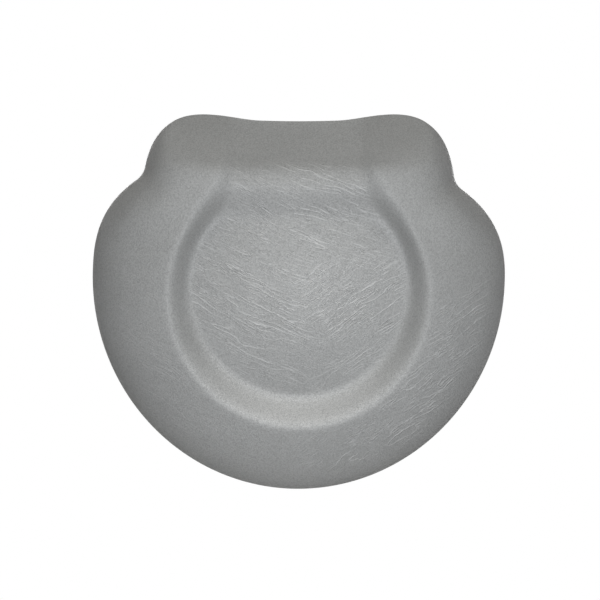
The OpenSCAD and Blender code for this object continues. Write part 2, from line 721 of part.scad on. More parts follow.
module post_bush() rotate_extrude() polygon([
    [post_r, socket_len/2 - post_bush_len], [post_bush_r, socket_len/2 - post_bush_len],
    [post_bush_r, socket_len/2], [post_bush_r + post_flange_w, socket_len/2],
    [post_bush_r + post_flange_w, socket_len/2 + post_flange_t],
    [post_r, socket_len/2 + post_flange_t]]);
module upper_post_bush() color("black") post_bush();
module lower_post_bush() color("black") mirror([0, 0, 1]) post_bush();

// Clamp
module clamp_shoe() color("goldenrod") difference() {
    along_y(0) cylinder(r = shoe_r, h = shoe_back_y);
    translate([0, 0, -shoe_r - run_out]) cylinder(r = post_r, h = 2*shoe_r + 2*run_out);
    translate([0, -2*post_r, 0]) cube(4*post_r, center = true);
    along_y(shoe_back_y - tip_len - tip_gap)
        cylinder(r = tip_r + slide_gap, h = tip_len + tip_gap + run_out);
}

module clamp_stud() color("silver") {
    along_y(shoe_back_y - tip_len) cylinder(r = tip_r, h = tip_len + tip_gap + run_out);
    along_y(shoe_back_y + tip_gap) chamfered(stud_r, stud_len, chamfer/2);
}

module knob_profile() {
    square([hub_r, hub_len + run_out]);
    translate([0, hub_len]) {
        square([knob_r - knob_round, knob_t]);
        translate([0, knob_round]) square([knob_r, knob_t - 2*knob_round]);
        for (z = [knob_round, knob_t - knob_round])
            translate([knob_r - knob_round, z]) circle(knob_round);
    }
}
module clamp_knob() color("black") along_y(hub_y) difference() {
    rotate_extrude() knob_profile();
    for (i = [0:lobes - 1]) rotate([0, 0, 360*i/lobes])
        translate([knob_r + flute_r - flute_d, 0, hub_len - run_out])
            cylinder(r = flute_r, h = knob_t + 2*run_out);
    translate([0, 0, -run_out])
        cylinder(r = stud_r + seat_gap, h = hub_len + stud_bite + run_out + seat_gap);
    translate([0, 0, hub_len + knob_t - cap_t])
        cylinder(r = cap_r + seat_gap, h = cap_t + run_out);
}

module knob_cap() color("dimgray") along_y(knob_y + knob_t - cap_t)
    chamfered(cap_r, cap_t, cap_t*head_chamfer);

vinyl_cover();
foam_core();
backing_board();
tee_nuts();
cover_staples();
rear_cover();
cover_screws();
mounting_plate();
plate_screws();
lock_washers();
hinge_yoke();
weld_beads();
hinge_bolt();
hinge_bushes();
flat_washers();
disc_springs();
lock_nut();
post_socket();
stop_pin();
upper_post_bush();
lower_post_bush();
clamp_shoe();
clamp_stud();
clamp_knob();
knob_cap();
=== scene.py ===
"""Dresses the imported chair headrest: a stretched vinyl cover over moulded foam, the moulded
rear cover, and the finishes of the tilting bracket, the fasteners and the post clamp."""

import math

import bpy
import numpy as np
from bpy.props import FloatProperty, FloatVectorProperty, IntProperty, PointerProperty
from bpy.types import Operator, Panel, PropertyGroup, World
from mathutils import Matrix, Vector


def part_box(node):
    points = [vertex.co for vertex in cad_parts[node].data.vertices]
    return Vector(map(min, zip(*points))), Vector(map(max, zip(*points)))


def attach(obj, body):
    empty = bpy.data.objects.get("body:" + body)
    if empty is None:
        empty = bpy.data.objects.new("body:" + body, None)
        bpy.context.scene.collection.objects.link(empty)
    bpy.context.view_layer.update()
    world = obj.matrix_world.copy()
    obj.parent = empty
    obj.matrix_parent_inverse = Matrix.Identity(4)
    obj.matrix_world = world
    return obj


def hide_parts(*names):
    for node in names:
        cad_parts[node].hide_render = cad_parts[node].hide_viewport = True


bl_info = {
    "name": "Chair headrest",
    "version": (1, 0, 0),
    "blender": (4, 5, 0),
    "location": "View3D > Sidebar > Headrest",
    "description": "Models the soft pieces of a chair headrest and finishes its bracket",
    "category": "Object",
}

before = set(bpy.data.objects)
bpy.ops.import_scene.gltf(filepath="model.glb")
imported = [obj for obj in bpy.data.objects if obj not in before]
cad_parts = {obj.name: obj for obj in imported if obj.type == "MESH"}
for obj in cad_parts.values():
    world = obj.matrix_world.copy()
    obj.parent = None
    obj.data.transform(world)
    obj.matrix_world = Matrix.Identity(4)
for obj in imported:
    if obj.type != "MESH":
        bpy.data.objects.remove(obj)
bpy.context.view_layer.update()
PAD_BODY = "pad"

# Where a feature of the pad's face starts, is full, starts to fade and ends. Heights are over the
# widest line, and shares run from the middle to the edge or from the wall's foot to its crest.
KNUCKLE_HEIGHTS = (0.015, 0.050, 0.075, 0.100)
KNUCKLE_SHARES = (0.55, 0.80, 0.85, 1.0)
NECK_HEIGHTS = (0.026, 0.046, 0.056, 0.070)
LIP_HEIGHTS = (0.045, 0.060, 0.074, 0.084)
# Where the painted highlight on the dish's bottom wall starts, is full, fades and ends, as shares of
# the wall
PAINTED_GLINT_SHARES = (-0.15, 0.15, 0.9, 1.2)

# Layers of creases: strength, length, spacing, width, start of the noise and least cover
FALLING_CREASES = ((1.1, 0.040, 0.0056, 0.0008, 3.0, 0.44),
                   (0.9, 0.022, 0.0030, 0.00055, 7.0, 0.41),
                   (0.6, 0.011, 0.0016, 0.00042, 12.0, 0.40))
RISING_CREASES = ((1.1, 0.032, 0.0042, 0.00075, 5.0, 0.41),
                  (0.9, 0.014, 0.0020, 0.0005, 9.0, 0.40))


# Properties and curves

def length(name, description, default):
    return FloatProperty(name=name, description=description, default=default, unit="LENGTH",
                         precision=5)


def ratio(name, description, default):
    return FloatProperty(name=name, description=description, default=default)


def angle(name, description, degrees):
    return FloatProperty(name=name, description=description, default=math.radians(degrees),
                         subtype="ANGLE")


def colour(name, description, default):
    return FloatVectorProperty(name=name, description=description, default=default, size=3,
                               subtype="COLOR", min=0, max=1)


def ease(low, high, value):
    """0 below low, 1 above high, and a smooth rise between them."""
    share = np.clip((value - low)/(high - low), 0, 1)
    return share*share*(3 - 2*share)


def band(value, start, full, fading, end):
    """A smooth rise from start to full, and a smooth fall from fading to end."""
    return ease(start, full, value)*ease(end, fading, value)


def swell(share):
    """0 to 1 with a slope and a bend of 0 at both ends."""
    share = np.clip(share, 0, 1)
    return share**3*(share*(6*share - 15) + 10)


def mix(a, b, share):
    return a + (b - a)*share


def soft_max(a, b, blend):
    near = np.maximum(blend - np.abs(a - b), 0)/np.maximum(blend, 1e-9)
    return np.maximum(a, b) + near*near*blend/4


def soft_min(a, b, blend):
    return -soft_max(-a, -b, blend)


def oval(half_w, half_h, power, t):
    return (np.abs(np.cos(t)/half_w)**power + np.abs(np.sin(t)/half_h)**power)**(-1/power)


class PadForm(PropertyGroup):
    """The pad's outline and section, with the curves that they give."""

    width: length("Width", "Across the widest line", 0.300)
    middle_z: length("Widest line", "Height of the widest line above the post socket", 0.0185)
    drop: length("Drop", "From the widest line to the bottom edge", 0.155)
    turn: angle("Turn", "Turn of the shoulders against the ears", 2.6)
    shoulder_h: length("Shoulder rise", "Rise of the shoulder curve", 0.0915)
    shoulder_power: ratio("Shoulder squareness", "2 gives an ellipse", 2.5)
    ear_w: length("Ear width", "Across the two ears", 0.2295)
    ear_h: length("Ear rise", "Rise of the ear curve", 0.122)
    ear_power: ratio("Ear squareness", "2 gives an ellipse", 4.9)
    saddle_drop: length("Saddle drop", "Drop of the top edge between the ears", 0.0096)
    saddle_in: length("Saddle middle", "Half width of the level middle", 0.030)
    saddle_out: length("Saddle end", "Half width where the drop has run out", 0.092)
    notch_blend: length("Notch blend", "Blend of ear and shoulder at the edge", 0.006)
    crown_blend: length("Crown blend", "Blend of ear and shoulder inside the edge", 0.070)
    crown_fade: ratio("Crown fade", "How late the crown turns into the edge", 8)
    side_h: length("Side", "Depth from the board's back to the widest line", 0.022)
    dome_h: length("Dome", "Rise of the crowned rim over the widest line", 0.084)
    crown_lean: ratio("Crown lean", "Gain of the crown per metre of height", 0.4)
    edge_in: length("Edge draw", "Distance by which the side draws in at the back", 0.014)
    dish_d: length("Dish floor", "Depth of the dish floor at its highest point", 0.080)
    floor_r: length("Floor radius", "Radius of the crowned dish floor", 0.280)
    floor_low_r: length("Lower floor radius", "Radius below the floor's middle", 0.170)
    floor_z: length("Floor middle", "Height of the floor's middle", 0.006)
    foot_r: length("Foot radius", "Radius of the foot of the dish wall", 0.0768)
    foot_z: length("Foot height", "Height of the foot circle", -0.0093)
    crest_r: length("Crest radius", "Radius of the top of the dish wall", 0.0914)
    crest_z: length("Crest height", "Height of the crest circle", -0.0152)
    knuckle_d: length("Knuckles", "Fullness of the ends of the rim below the ears", 0.006)
    wall_soft: ratio("Wall softness", "Widening of the wall by its rounded foot and crest", 1.45)
    neck_soft: ratio("Neck softness", "Further widening of the wall beside the neck", 0.4)
    neck_foot_w: length("Neck foot", "Width of the neck channel at its foot", 0.084)
    neck_crest_w: length("Neck crest", "Width of the neck channel at its top", 0.108)
    neck_blend: length("Neck blend", "Blend of the dish wall into the channel", 0.022)
    neck_d: length("Neck depth", "Depth of the channel below the ears", 0.0105)
    lip_from: length("Lip start", "Height where the floor starts to rise", 0.038)
    lip_to: length("Lip end", "Height where the neck lip is reached", 0.066)
    bevel_z: length("Bevel height", "Height where the top bevel starts", 0.077)
    bevel_d: length("Bevel depth", "Depth of the pad where the bevel starts", 0.086)
    bevel_tilt: angle("Bevel tilt", "Tilt of the top bevel", 56)
    bevel_round: length("Bevel rounding", "Rounding of the bevel between the ears", 0.007)
    ear_round: length("Ear rounding", "Rounding of the bevel on the ears", 0.024)
    roll_h: length("Rolled edge", "Rise of the rolled edge below the bevel", 0.022)
    skin_t: length("Vinyl", "Thickness of the vinyl", 0.0012)
    flange_w: length("Turned edge", "Width of the vinyl turned over the back", 0.014)
    glue_gap: length("Glue gap", "Gap between the vinyl and the foam", 0.0001)
    lip_w: length("Foam lip", "Width of the foam around the board", 0.003)
    pocket_gap: length("Pocket gap", "Gap between the board and the foam", 0.0002)
    board_t: length("Board", "Thickness of the board", 0.012)
    pull_left: angle("Left pull", "Slope of the creases in the left of the dish", -28)
    pull_middle: angle("Middle pull", "Slope of the creases in the middle of the dish", -19)
    pull_right: angle("Right pull", "Slope of the creases in the right of the dish", 33)
    gather_d: length("Gather depth", "Depth of the gathers at the turned edge", 0.0008)
    gathers: IntProperty(name="Gathers", description="Gathers around the back edge", default=120)
    segments: IntProperty(name="Segments", description="Points around the pad", default=512)

    def body_edge(self, t):
        t = t + self.turn
        upper = oval(self.width/2, self.shoulder_h, self.shoulder_power, t)
        return np.where(np.sin(t) < 0, oval(self.width/2, self.drop, 2, t), upper)

    def ear_edge(self, t):
        reach = oval(self.ear_w/2, self.ear_h, self.ear_power, t)
        level = 1 - ease(self.saddle_in, self.saddle_out, np.abs(reach*np.cos(t)))
        return reach - self.saddle_drop*level*np.sin(t)

    def edge(self, t):
        joined = soft_max(self.body_edge(t), self.ear_edge(t), self.notch_blend)
        return np.where(np.sin(t) <= 0, self.body_edge(t), joined)

    def crown_edge(self, t):
        blend = mix(self.notch_blend, self.crown_blend, np.maximum(np.sin(t), 0))
        joined = soft_max(self.body_edge(t), self.ear_edge(t), blend)
        return np.where(np.sin(t) <= 0, self.body_edge(t), joined)

    def keyhole(self, x, z, radius, centre, width):
        """Distance outside a circle that opens upwards into a channel."""
        channel = np.where(z > centre, np.abs(x) - width/2, radius)
        return soft_min(np.hypot(x, z - centre) - radius, channel, self.neck_blend)

    def rim_depth(self, x, z, u):
        round_off = np.sqrt(np.maximum(0, 1 - u*u))
        ear = ease(self.neck_foot_w/2, self.ear_w/2, np.abs(x))
        blend = round_off*mix(self.bevel_round, self.ear_round, ear)
        bevel = self.bevel_d - (z - self.bevel_z)*math.tan(self.bevel_tilt)
        rolled = soft_max(bevel, self.side_h + self.roll_h*round_off, blend)
        dome = self.side_h + self.dome_h*(1 + self.crown_lean*z)*round_off
        return soft_min(dome + self.knuckle(z, u), rolled, blend)

    def knuckle(self, z, u):
        """Extra fullness of the rim where its two arms end below the ears."""
        return self.knuckle_d*band(z, *KNUCKLE_HEIGHTS)*band(u, *KNUCKLE_SHARES)

    def floor_depth(self, x, z, u):
        radius = np.where(z < self.floor_z, self.floor_low_r, self.floor_r)
        crowned = self.dish_d - x*x/(2*self.floor_r) - (z - self.floor_z)**2/(2*radius)
        lip = self.rim_depth(x, z, u) - self.neck_d*(1 - u**4)
        return mix(crowned, lip, ease(self.lip_from, self.lip_to, z))

    def wall_share(self, x, z):
        """0 at the foot of the dish wall and 1 at its crest."""
        outer = self.keyhole(x, z, self.foot_r, self.foot_z, self.neck_foot_w)
        inner = self.keyhole(x, z, self.crest_r, self.crest_z, self.neck_crest_w)
        return outer/np.maximum(outer - inner, 1e-6)

    def front_depth(self, x, z, u):
        soft = self.wall_soft + self.neck_soft*band(z, *NECK_HEIGHTS)
        rise = swell(0.5 + (self.wall_share(x, z) - 0.5)/soft)
        return mix(self.floor_depth(x, z, u), self.rim_depth(x, z, u), rise)

    def dish_line(self, t, radius, centre, width, top):
        circle = centre*np.sin(t) + np.sqrt(radius**2 - (centre*np.cos(t))**2)
        channel = width/2/np.maximum(np.abs(np.cos(t)), 1e-3)
        opened = soft_min(soft_max(circle, channel, self.neck_blend),
                          top/np.maximum(np.sin(t), 1e-3), self.neck_blend)
        return np.where(np.sin(t) <= 0, circle, opened)

    def foot_line(self, t):
        return self.dish_line(t, self.foot_r, self.foot_z, self.neck_foot_w, self.lip_to)

    def crest_line(self, t):
        return self.dish_line(t, self.crest_r, self.crest_z, self.neck_crest_w, self.bevel_z)

    def place(self, t, r, depth):
        board_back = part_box("backing_board")[1][1]
        depth = np.broadcast_to(depth, t.shape)
        return np.stack([r*np.cos(t), board_back - depth, self.middle_z + r*np.sin(t)], axis=1)

    def front(self, t, r, inset):
        share = np.minimum(1, r/(self.edge(t) - inset))
        u = share*self.edge(t)/mix(self.crown_edge(t), self.edge(t), share**self.crown_fade)
        return self.place(t, r, self.front_depth(r*np.cos(t), r*np.sin(t), u) - inset)

    def side(self, t, a, inset):
        r = self.edge(t) - self.edge_in + (self.edge_in - inset)*math.cos(a)
        return self.place(t, r, self.side_h - (self.side_h + self.skin_t - inset)*math.sin(a))

    def back(self, t, inwards, depth):
        return self.place(t, self.edge(t) - self.edge_in - inwards, depth)

    def spread_spokes(self, count):
        """Angles whose points lie evenly along the pad's outline."""
        t = np.linspace(-math.pi/2, 1.5*math.pi, 4*count + 1)
        p = self.place(t, self.edge(t), 0)
        run = np.concatenate([[0], np.cumsum(np.linalg.norm(np.diff(p, axis=0), axis=1))])
        return np.interp(np.arange(count)*run[-1]/count, run, t)

    def face_rows(self, t, inset, floor, wall, rim, side):
        """Rows of points from the middle of the dish out over the rim and round the side."""
        foot, crest, edge = self.foot_line(t), self.crest_line(t), self.edge(t) - inset
        rows = [self.front(t, foot*(i + 1)/floor, inset) for i in range(floor)]
        rows += [self.front(t, mix(foot, crest, (i + 1)/wall), inset) for i in range(wall)]
        for i in range(1, rim):
            share = math.sin(math.pi/2*i/rim)
            rows.append(self.front(t, mix(crest, edge, share), inset))
        return rows + [self.side(t, math.pi/2*i/side, inset) for i in range(side + 1)]


class RearCoverForm(PropertyGroup):
    """The moulded rear cover: a flat margin, a step, a domed middle and a framed window."""

    inset: length("Inset", "Distance inside the pad's back edge", 0.003)
    wall: length("Wall", "Thickness of the wall", 0.0025)
    margin_t: length("Margin", "Thickness of the flat margin", 0.003)
    margin_w: length("Margin width", "Width of the flat margin", 0.024)
    edge_round: length("Edge rounding", "Rounding of the margin's edge", 0.001)
    step_w: length("Step width", "Width of the rounded step", 0.007)
    step_h: length("Step height", "Height above the step", 0.009)
    height: length("Height", "Height beside the window", 0.011)
    dome: length("Dome", "Rise of the middle over a straight slope", 0.0006)
    window_gap: length("Window gap", "Gap between the window and the mounting plate", 0.003)
    window_power: ratio("Window squareness", "2 gives a circle", 10)
    frame_w: length("Frame", "Width of the frame around the window", 0.004)
    frame_proud: length("Frame height", "Height of the frame over the cover", 0.0015)
    segments: IntProperty(name="Segments", description="Points around the cover", default=320)

    def loop(self, pad, t, inwards, height):
        return pad.back(t, self.inset + inwards, -pad.skin_t - height)

    def window(self, pad, t, out, height):
        outline = pad.place(t, pad.edge(t), -pad.skin_t - height)
        a = np.arctan2(outline[:, 2], outline[:, 0])
        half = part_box("mounting_plate")[1][0] + self.window_gap + out
        r = oval(half, half, self.window_power, a)
        return np.stack([r*np.cos(a), outline[:, 1], r*np.sin(a)], axis=1)

    def rows(self, pad, t):
        """Rows of points from the outer edge over the back, through the window and inside."""
        soft = self.edge_round
        rows = [self.loop(pad, t, 0, 0)]
        for i in range(5):
            a = math.pi/2*i/4
            rows.append(self.loop(pad, t, soft*(1 - math.cos(a)),
                                  self.margin_t - soft + soft*math.sin(a)))
        rows += [self.loop(pad, t, self.margin_w*share, self.margin_t) for share in (0.5, 0.96)]
        for i in range(11):
            rise = math.sin(math.pi/2*i/10)**0.75
            rows.append(self.loop(pad, t, self.margin_w + self.step_w*i/10,
                                  mix(self.margin_t, self.step_h, rise)))
        shoulder, frame_foot = rows[-1], self.window(pad, t, self.frame_w, self.height)
        for i in range(1, 12):
            row = mix(shoulder, frame_foot, i/12)
            row[:, 1] += self.dome*math.sin(math.pi*i/12)
            rows.append(row)
        top, bend = self.height + self.frame_proud, self.frame_proud/3
        for out, height in ((self.frame_w + bend, self.height), (self.frame_w, self.height + bend/2),
                            (self.frame_w - bend, top - bend/2), (self.frame_w - 2*bend, top),
                            (bend, top), (bend/4, top - bend/4), (0, top - bend), (0, -pad.skin_t),
                            (self.wall, -pad.skin_t), (self.wall, self.height - self.wall)):
            rows.append(self.window(pad, t, out, height))
        rows.append(self.loop(pad, t, self.margin_w + self.step_w, self.step_h - self.wall))
        return rows + [self.loop(pad, t, self.margin_w + self.wall, 0)]


class VinylLook(PropertyGroup):
    """The pad cover's colour and grain."""

    tint: colour("Vinyl", "Colour of the vinyl", (0.40, 0.40, 0.393))
    # Lighter than the vinyl: painted highlight on the crease ridges, with some whitening of the
    # stretched vinyl
    crease_and_highlight_tint: colour("Crease", "Colour of the stretched creases", (0.60, 0.60, 0.59))
    grain: length("Grain", "Size of one pebble of the grain", 0.0010)
    gloss: ratio("Roughness", "Roughness of the vinyl", 0.56)


class BracketLook(PropertyGroup):
    """Colours behind the pad."""

    coat: colour("Powder coat", "Colour of the coated steel", (0.045, 0.045, 0.05))
    casting: colour("Casting", "Colour of the coated socket", (0.06, 0.06, 0.065))
    plastic: colour("Plastic", "Colour of the moulded plastic", (0.035, 0.035, 0.038))
    cap: colour("Cap", "Colour of the knob's cap", (0.22, 0.22, 0.225))
    zinc: colour("Zinc", "Colour of the plated fasteners", (0.62, 0.63, 0.65))
    spring: colour("Spring steel", "Colour of the disc springs", (0.28, 0.29, 0.31))
    bush: colour("Bush", "Colour of the hinge bushes", (0.78, 0.76, 0.70))
    brass: colour("Brass", "Colour of the clamp shoe", (0.72, 0.54, 0.24))
    foam: colour("Foam", "Colour of the foam", (0.83, 0.76, 0.58))
    plywood: colour("Plywood", "Colour of the board", (0.62, 0.45, 0.27))


class StageLook(PropertyGroup):
    """Light, floor and camera."""

    key: ratio("Key", "Light from the front, as a share of full light", 0.585)
    key_tint: colour("Key tint", "Colour of the light from the front", (0.940, 0.967, 1.0))
    top: ratio("Top light", "Light from above, as a share of full light", 0.11)
    top_tint: colour("Top tint", "Colour of the light from above", (1.0, 0.94, 0.78))
    dish: ratio("Dish light", "Light from above on the foot of the dish", 0.295)
    back: ratio("Back light", "Light from behind on each side", 0.35)
    fill: ratio("Fill", "Strength of the light from all round", 0.04)
    aim: FloatVectorProperty(name="Aim", description="Point that the camera faces", size=3,
                             default=(0.0009, -0.085, 0.0010), subtype="TRANSLATION",
                             precision=5)
    distance: length("Distance", "From the camera to the pad's widest line", 1.4)
    view_w: length("View width", "Width of the view at the widest line", 0.4375)
    floor_z: length("Floor", "Height of the floor", -0.36)
    floor_w: length("Floor size", "Half width of the floor", 0.7)


# Shader maths

class Wire:
    """A shader value that can stand in a Python expression."""

    def __init__(self, finish, socket):
        self.finish, self.socket = finish, socket

    def _math(self, operation, a, b):
        return self.finish.node("ShaderNodeMath", {"operation": operation}, {0: a, 1: b})

    def __add__(self, other):
        return self._math("ADD", self, other)

    def __radd__(self, other):
        return self._math("ADD", other, self)

    def __sub__(self, other):
        return self._math("SUBTRACT", self, other)

    def __rsub__(self, other):
        return self._math("SUBTRACT", other, self)

    def __mul__(self, other):
        return self._math("MULTIPLY", self, other)

    def __rmul__(self, other):
        return self._math("MULTIPLY", other, self)

    def __truediv__(self, other):
        return self._math("DIVIDE", self, other)

    def __abs__(self):
        return self._math("ABSOLUTE", self, 0.0)


class Finish:
    """The nodes of one procedural material, or of the world."""

    def __init__(self, owner):
        self.owner = owner
        owner.use_nodes = True
        self.tree = owner.node_tree
        self.tree.nodes.clear()

    def node(self, kind, settings=None, inputs=None, output=0):
        """Adds a node, sets it up, and returns the wanted output."""
        node = self.tree.nodes.new(kind)
        for name, value in (settings or {}).items():
            setattr(node, name, value)
        for key, value in (inputs or {}).items():
            socket = node.inputs[key] if isinstance(key, int) else self.named(node.inputs, key)
            if isinstance(value, Wire):
                self.tree.links.new(value.socket, socket)
            else:
                socket.default_value = value
        found = node.outputs[output] if isinstance(output, int) else self.named(node.outputs, output)
        return Wire(self, found)

    @staticmethod
    def named(sockets, key):
        for socket in sockets:
            if key in (socket.identifier, socket.name) and socket.enabled:
                return socket
        raise KeyError(key)

    def object_place(self):
        return self.node("ShaderNodeTexCoord", output="Object")

    def attribute(self, name, output="Fac"):
        return self.node("ShaderNodeAttribute", {"attribute_name": name}, output=output)

    def mapped(self, place, scale, shift=(0, 0, 0)):
        return self.node("ShaderNodeMapping", None,
                         {"Vector": place, "Scale": scale, "Location": shift})

    def noise(self, place, scale, detail=2.0, rough=0.5, warp=0.0):
        return self.node("ShaderNodeTexNoise", None,
                         {"Vector": place, "Scale": scale, "Detail": detail, "Roughness": rough,
                          "Distortion": warp})

    def cells(self, place, scale):
        """Distance from the middle of rounded, touching cells."""
        return self.node("ShaderNodeTexVoronoi", {"feature": "SMOOTH_F1"},
                         {"Vector": place, "Scale": scale}, output="Distance")

    def wavy(self, place, scale, reach):
        """The place, moved to and fro by a noise."""
        noise = self.node("ShaderNodeTexNoise", None,
                          {"Vector": place, "Scale": scale, "Detail": 1.0}, output="Color")
        moved = self.node("ShaderNodeVectorMath", {"operation": "SCALE"},
                          {0: noise, "Scale": reach}, output="Vector")
        return self.node("ShaderNodeVectorMath", {"operation": "ADD"}, {0: place, 1: moved},
                         output="Vector")

    def span(self, value, low, high, out_low=0.0, out_high=1.0):
        """Carries low..high over to out_low..out_high with soft ends."""
        return self.node("ShaderNodeMapRange", {"interpolation_type": "SMOOTHSTEP"},
                         {"Value": value, "From Min": low, "From Max": high,
                          "To Min": out_low, "To Max": out_high})

    def blend(self, share, a, b):
        """Mixes two colours."""
        return self.node("ShaderNodeMix", {"data_type": "RGBA"},
                         {"Factor_Float": share, "A_Color": rgba(a), "B_Color": rgba(b)},
                         output="Result_Color")

    def bump(self, height, depth, strength=1.0):
        return self.node("ShaderNodeBump", None,
                         {"Height": height, "Distance": depth, "Strength": strength},
                         output="Normal")

    def surface(self, **inputs):
        """The closing shader. Underscores in the names stand for spaces."""
        named = {key.replace("_", " "): rgba(value) if key == "Base_Color" else value
                 for key, value in inputs.items()}
        return self.close(self.node("ShaderNodeBsdfPrincipled", {"distribution": "GGX"}, named))

    def close(self, shader):
        out = self.tree.nodes.new("ShaderNodeOutputWorld" if isinstance(self.owner, World)
                                  else "ShaderNodeOutputMaterial")
        self.tree.links.new(shader.socket, out.inputs["Surface"])
        return self.owner


def new_finish(name):
    return Finish(bpy.data.materials.new(name))


def rgba(value):
    return value if isinstance(value, Wire) else (*value[:3], 1.0)


def shade(tint, factor):
    return tuple(min(1.0, c*factor) for c in tint)


# Finishes

def vinyl_finish(look):
    f = new_finish("grey_vinyl")
    place = f.object_place()
    pebble = f.cells(f.wavy(place, 420.0, look.grain*0.8), 1/look.grain)
    fine = f.noise(place, 1.7/look.grain, 2.0)
    broad = f.noise(place, 28.0, 3.0)

    crease = (stretch_creases(f, "down_run", "down_pull", FALLING_CREASES)
              + stretch_creases(f, "up_run", "up_pull", RISING_CREASES))
    tone = f.blend(f.span(broad, 0.3, 0.7), shade(look.tint, 0.965), shade(look.tint, 1.03))
    # Painted shade: the valleys between the grain's pebbles darkened
    tone = f.blend(f.span(pebble, 0.2, 0.65, 0.0, 0.55), tone, shade(look.tint, 0.6))
    # Painted highlight: fine light specks standing for glints on the grain
    tone = f.blend(f.span(fine, 0.45, 0.7, 0.0, 0.45), tone, shade(look.tint, 1.35))
    # Painted highlight: light specks over the dish's bottom wall, drawn toward the crease tint
    painted_glint = f.attribute("painted_glint")*f.span(fine, 0.42, 0.66, 0.0, 0.6)
    # Creases drawn lighter: painted highlight on their ridges, with some whitening of the stretched
    # vinyl
    tone = f.blend(f.span(crease, 0.0, 1.0, 0.0, 0.72) + painted_glint, tone, look.crease_and_highlight_tint)
    height = 0.6*(1 - pebble) + 0.3*fine + 0.9*crease
    rough = look.gloss - 0.05*f.span(broad, 0.3, 0.7) + 0.12*pebble - 0.06*crease
    return f.surface(Base_Color=tone, Roughness=rough, Normal=f.bump(height, 0.0004, 0.9),
                     Specular_IOR_Level=0.2)


def stretch_creases(f, run_name, pull_name, layers):
    """Creases of the stretched cover: level lines of a noise drawn out along the pull."""
    run = f.wavy(f.wavy(f.attribute(run_name, "Vector"), 45.0, 0.006), 240.0, 0.0014)
    aside, fade = 0.1, 0.16

    def crease_layer(along, across, width, seed, low):
        def field(step):
            drawn = f.mapped(run, (1/along, 1/across, 1), shift=(seed, seed + step, seed))
            return f.noise(drawn, 1.0, 1.0, 0.4)

        steep = abs(field(aside) - field(-aside))/(2*aside*across) + 1.0
        line = f.span(abs(field(0.0) - 0.5)/steep, 0.0, width, 1.0, 0.0)
        patch = f.noise(f.mapped(run, (0.5/along, 0.2/across, 1), shift=(-seed, seed, 0)), 1.0)
        return line*f.span(patch, low, low + fade)

    total = 0.0
    for strength, *layer in layers:
        total = total + strength*crease_layer(*layer)
    return f.attribute(pull_name)*total


def foam_finish(look):
    f = new_finish("moulded_foam")
    place = f.object_place()
    pores = f.cells(place, 900.0)
    aged = f.noise(place, 30.0, 3.0)
    tone = f.blend(f.span(aged, 0.3, 0.7), shade(look.foam, 0.92), look.foam)
    tone = f.blend(f.span(pores, 0.1, 0.6, 0.0, 0.3), tone, shade(look.foam, 0.6))
    return f.surface(Base_Color=tone, Roughness=0.95, Normal=f.bump(1 - pores, 0.0004, 0.8))


def plywood_finish(look):
    f = new_finish("plywood")
    place = f.object_place()
    plies = f.node("ShaderNodeTexWave", {"bands_direction": "Y"},
                   {"Vector": place, "Scale": 130.0, "Distortion": 1.0, "Detail": 2.0})
    grain = f.noise(f.mapped(place, (12.0, 400.0, 160.0)), 1.0, 4.0, 0.6, 0.3)
    tone = f.blend(f.span(plies, 0.3, 0.7), shade(look.plywood, 0.72), look.plywood)
    tone = f.blend(f.span(grain, 0.4, 0.7, 0.0, 0.5), tone, shade(look.plywood, 0.55))
    return f.surface(Base_Color=tone, Roughness=0.7 + 0.15*grain,
                     Normal=f.bump(grain, 0.0002, 0.6))


def coated_finish(name, tint, peel, rough):
    """Powder-coated or cast and coated metal, with orange peel and handling marks."""
    f = new_finish(name)
    place = f.object_place()
    skin = f.noise(place, 1/peel, 2.0)
    speck = f.noise(place, 5200.0, 1.0)
    scuff = f.span(f.noise(f.mapped(place, (60.0, 60.0, 420.0)), 1.0, 4.0, 0.65), 0.60, 0.72)
    dust = f.span(f.noise(place, 36.0, 4.0), 0.45, 0.75)
    tone = f.blend(0.25*dust, tint, shade(tint, 2.2))
    tone = f.blend(0.35*scuff, tone, shade(tint, 3.0))
    return f.surface(Base_Color=tone, Roughness=rough + 0.14*dust - 0.12*scuff,
                     Normal=f.bump(skin + 0.25*speck, 0.00018, 0.7), Specular_IOR_Level=0.5)


def plastic_finish(name, tint, rough):
    """Moulded plastic with a fine eroded texture and a little dust in it."""
    f = new_finish(name)
    place = f.object_place()
    texture = f.cells(place, 1700.0)
    flow = f.noise(place, 45.0, 3.0)
    rub = f.span(f.noise(place, 140.0, 4.0, 0.6), 0.56, 0.72)
    tone = f.blend(f.span(flow, 0.35, 0.7, 0.0, 0.35), tint, shade(tint, 1.7))
    tone = f.blend(0.25*rub, tone, shade(tint, 2.3))
    return f.surface(Base_Color=tone, Roughness=rough + 0.1*flow - 0.1*rub,
                     Normal=f.bump(1 - texture, 0.00012, 0.6), Specular_IOR_Level=0.45)


def metal_finish(name, tint, rough, warm=0.0):
    """Plated or turned metal: fine tool lines, stains and a thin passivated tint."""
    f = new_finish(name)
    place = f.object_place()
    lines = f.noise(f.mapped(place, (2600.0, 500.0, 500.0)), 1.0, 3.0, 0.6)
    stain = f.noise(place, 130.0, 4.0, 0.6)
    tone = f.blend(f.span(stain, 0.35, 0.7, 0.0, 0.6), tint, shade(tint, 0.72))
    tone = f.blend(f.span(f.noise(place, 60.0, 2.0), 0.5, 0.75, 0.0, warm), tone,
                   (tint[0], tint[1]*0.9, tint[2]*0.68))
    return f.surface(Base_Color=tone, Metallic=1.0, Roughness=rough + 0.16*stain,
                     Normal=f.bump(lines, 0.00004, 0.5))


# Modelling

def pick_none():
    bpy.ops.object.select_all(action="DESELECT")


def name_new(name):
    piece = bpy.context.object
    piece.name = piece.data.name = name
    return piece


def lift_points(piece):
    points = np.empty(len(piece.data.vertices)*3)
    piece.data.vertices.foreach_get("co", points)
    return points.reshape(-1, 3)


def set_points(piece, points):
    piece.data.vertices.foreach_set("co", np.ascontiguousarray(points, dtype=np.float64).ravel())
    piece.data.update()


